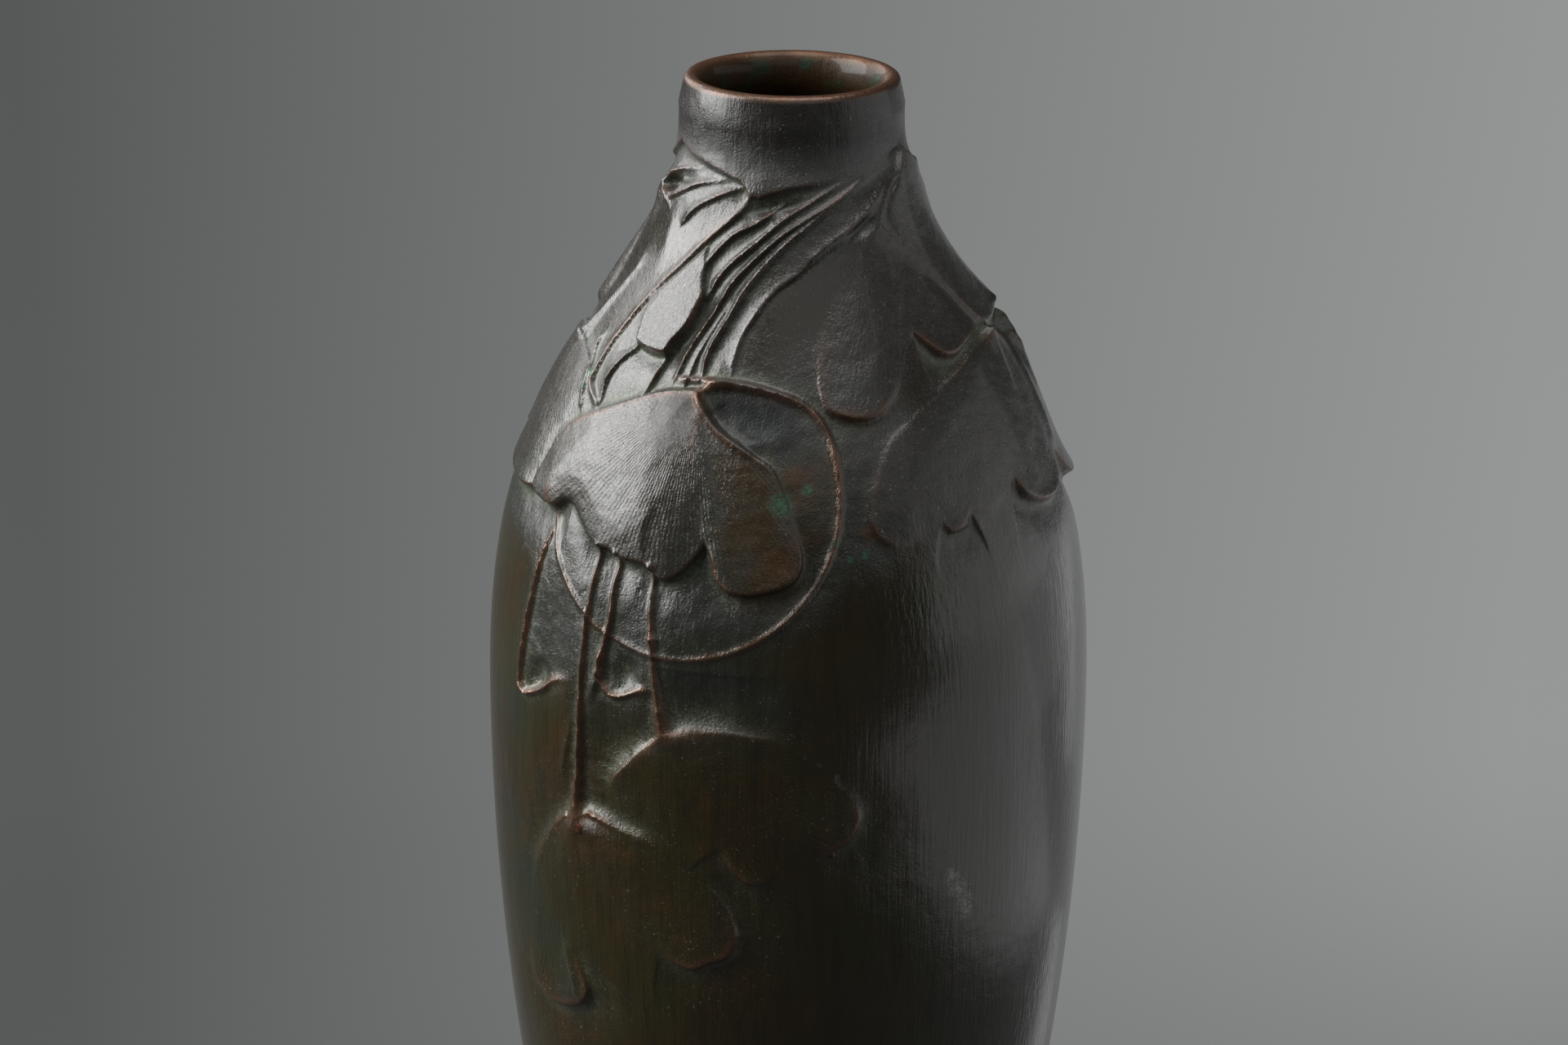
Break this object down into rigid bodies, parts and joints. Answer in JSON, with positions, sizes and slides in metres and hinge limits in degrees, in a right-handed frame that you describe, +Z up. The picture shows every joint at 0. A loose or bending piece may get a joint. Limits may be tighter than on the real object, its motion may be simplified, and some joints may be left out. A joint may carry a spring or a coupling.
{
  "type": "vase",
  "caption": "Tall cast bronze vase with a narrow collared mouth and a shallow relief of fan-shaped leaves, hanging stems and a plain ring.",
  "frame": {"origin": "middle of the foot, on the surface that the vase stands on", "axes": "+Z up along the vase's axis, -Y towards the front, where the ring is, +X to the right as seen from the front"},
  "size_m": [0.1102, 0.1113, 0.26],
  "materials": {
    "patinated_bronze": "cast bronze with a waxed dark brown to black patina, copper coloured on worn edges",
    "plate_bronze": "turned bronze disc, dull brown",
    "solder": "dull grey soft solder",
    "plug_bronze": "filed bronze plugs, reddish brown"
  },
  "bodies": {
    "root": {"vase_body": "patinated_bronze", "base_plate": "plate_bronze", "base_solder": "solder", "pin_plug_front": "plug_bronze", "pin_plug_back": "plug_bronze", "pin_plug_low_right": "plug_bronze", "pin_plug_low_left": "plug_bronze", "repair_plug": "plug_bronze"}
  },
  "joints": []
}
